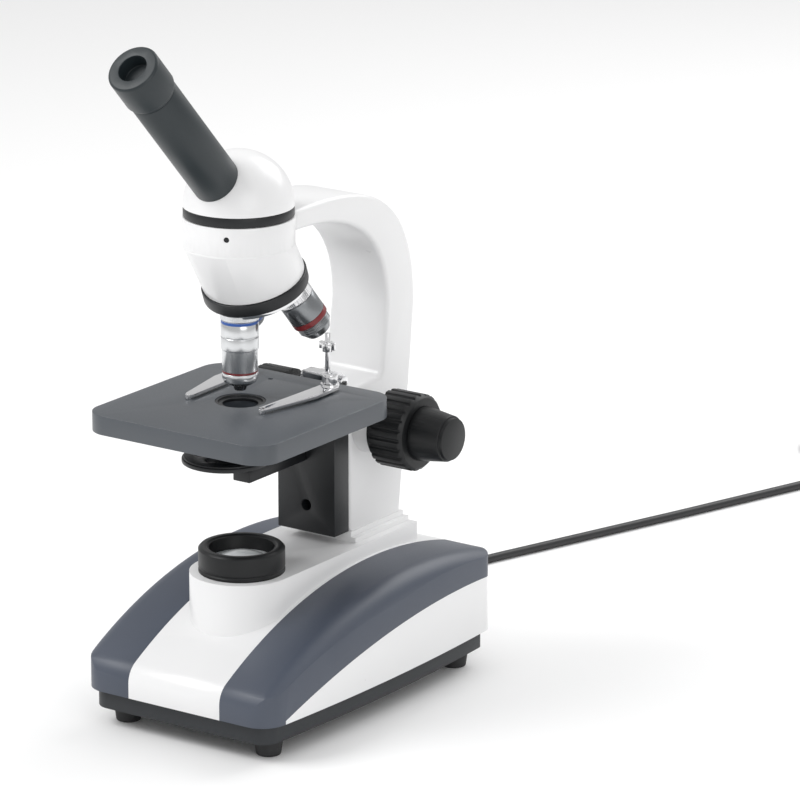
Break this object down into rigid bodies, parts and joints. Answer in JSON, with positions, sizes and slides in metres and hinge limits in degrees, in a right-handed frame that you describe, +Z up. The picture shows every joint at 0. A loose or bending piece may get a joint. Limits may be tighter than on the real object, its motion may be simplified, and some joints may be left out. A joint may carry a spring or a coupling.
{
  "type": "monocular microscope",
  "caption": "Upright monocular microscope: arched lit base, C arm, focusing stage with clips, tilted turret of objectives, inclined turning eyepiece tube, mains cord.",
  "frame": {"origin": "on the table under the middle of the box round everything but the cord", "axes": "+Z up, +Y to the back, where the arm stands; +X to the right as seen from the eyepiece side"},
  "size_m": [0.1562, 0.8644, 0.3813],
  "materials": {
    "white_enamel": "white enamel over cast alloy",
    "white_plastic": "glossy white moulding",
    "slate_plastic": "satin slate blue-grey moulding",
    "dark_plate": "satin charcoal enamel",
    "rubber": "matt black rubber",
    "black_plastic": "satin black moulding",
    "stage_enamel": "satin slate enamel over cast alloy",
    "black_enamel": "satin black enamel over cast alloy",
    "tube_enamel": "satin dark grey anodised tube",
    "chrome": "bright chrome plate",
    "satin_chrome": "satin chrome plate",
    "steel": "turned steel",
    "brass": "turned brass",
    "glass": "clear polished glass",
    "board": "green circuit board",
    "iron_core": "varnished laminations",
    "ceramic": "cream ceramic",
    "cord_sheath": "black flexible sheath"
  },
  "bodies": {
    "base": {"base_shell": "white_plastic", "left_shoulder_panel": "slate_plastic", "right_shoulder_panel": "slate_plastic", "base_plate": "dark_plate", "rubber_feet": "rubber", "foot_screws": "steel", "transformer": "iron_core", "power_board": "board", "lamp_holder": "ceramic", "lamp": "glass", "illuminator_collar": "black_plastic", "collector_lens": "glass", "switch_housing": "black_plastic", "cord_gland": "cord_sheath", "cord": "cord_sheath", "cord_coil": "cord_sheath", "mains_plug": "black_plastic", "arm": "white_enamel", "arm_screws": "steel", "focus_collars": "white_enamel", "shaft_bushes": "brass", "nose_body": "white_enamel", "head_set_screw": "black_enamel", "turret_screw": "steel"},
    "switch_rocker": {"power_switch": "black_plastic"},
    "coarse_drive": {"coarse_shaft": "steel", "coarse_pinion": "brass", "coarse_knob_right": "black_plastic", "coarse_knob_left": "black_plastic"},
    "fine_drive": {"fine_shaft": "steel", "fine_knob_right": "black_plastic", "fine_knob_left": "black_plastic"},
    "fine_slide": {"fine_slide_block": "brass"},
    "stage": {"stage_carrier": "black_enamel", "focus_rack": "brass", "stage_plate": "stage_enamel", "stage_insert": "black_enamel", "clip_screws": "chrome", "stop_bracket": "chrome", "stop_screw": "chrome", "diaphragm_mount": "black_enamel", "substage_arm": "black_enamel"},
    "right_clip": {"right_clip": "chrome"},
    "left_clip": {"left_clip": "chrome"},
    "stop_nut": {"stop_nut": "chrome"},
    "diaphragm": {"diaphragm_disc": "black_enamel"},
    "turret": {"turret_ring": "black_enamel", "turret_plate": "chrome", "objective_low": "satin_chrome", "objective_mid": "satin_chrome", "objective_high": "satin_chrome"},
    "objective_nose": {"objective_nose": "satin_chrome"},
    "head": {"head_band": "black_enamel", "head_dome": "white_enamel", "prism": "glass", "eyepiece_tube": "tube_enamel"},
    "eyepiece": {"eyepiece_barrel": "satin_chrome", "eyecup": "black_plastic", "eye_lens": "glass"}
  },
  "joints": [
    {"name": "fine_turn", "type": "hinge", "parent": "base", "child": "fine_drive", "pos_m": [0, 0.0655, 0.145], "axis": [1, 0, 0], "range_deg": [-900, 900]},
    {"name": "fine_focus", "type": "slide", "parent": "base", "child": "fine_slide", "axis": [0, 0, 1], "range_m": [-0.0005, 0.0005]},
    {"name": "stage_focus", "type": "slide", "parent": "fine_slide", "child": "stage", "axis": [0, 0, 1], "range_m": [-0.005, 0.005]},
    {"name": "coarse_turn", "type": "hinge", "parent": "base", "child": "coarse_drive", "pos_m": [0, 0.0655, 0.145], "axis": [1, 0, 0], "range_deg": [-42, 42]},
    {"name": "turret_turn", "type": "hinge", "parent": "base", "child": "turret", "pos_m": [0, -0.0245, 0.275], "axis": [0, 0.342, -0.9397], "continuous": true},
    {"name": "nose_retract", "type": "slide", "parent": "turret", "child": "objective_nose", "axis": [0, 0, 1], "range_m": [0, 0.002], "stiffness_N_per_m": 300, "springref_m": -0.004},
    {"name": "head_turn", "type": "hinge", "parent": "base", "child": "head", "pos_m": [0, -0.0245, 0.28], "axis": [0, 0, 1], "continuous": true},
    {"name": "eyepiece_turn", "type": "hinge", "parent": "head", "child": "eyepiece", "pos_m": [0, -0.0245, 0.279], "axis": [0, -0.6884, 0.7254], "continuous": true},
    {"name": "diaphragm_turn", "type": "hinge", "parent": "stage", "child": "diaphragm", "pos_m": [0, -0.0375, 0.148], "axis": [0, 0, 1], "continuous": true},
    {"name": "right_clip_swing", "type": "hinge", "parent": "stage", "child": "right_clip", "pos_m": [0.028, 0.0175, 0.176], "axis": [0, 0, 1], "range_deg": [-8, 60]},
    {"name": "left_clip_swing", "type": "hinge", "parent": "stage", "child": "left_clip", "pos_m": [-0.028, 0.0175, 0.176], "axis": [0, 0, 1], "range_deg": [-60, 8]},
    {"name": "stop_nut_turn", "type": "hinge", "parent": "stage", "child": "stop_nut", "pos_m": [0.01, 0.0405, 0.192], "axis": [0, 0, 1], "continuous": true},
    {"name": "switch_tip", "type": "hinge", "parent": "base", "child": "switch_rocker", "pos_m": [-0.0615, 0.0675, 0.034], "axis": [0, 0, 1], "range_deg": [-14, 0]}
  ],
  "couplings": [
    {"joint": "coarse_turn", "follows": "stage_focus", "rad_per_m": -142.86},
    {"joint": "fine_turn", "follows": "fine_focus", "rad_per_m": -31416}
  ]
}
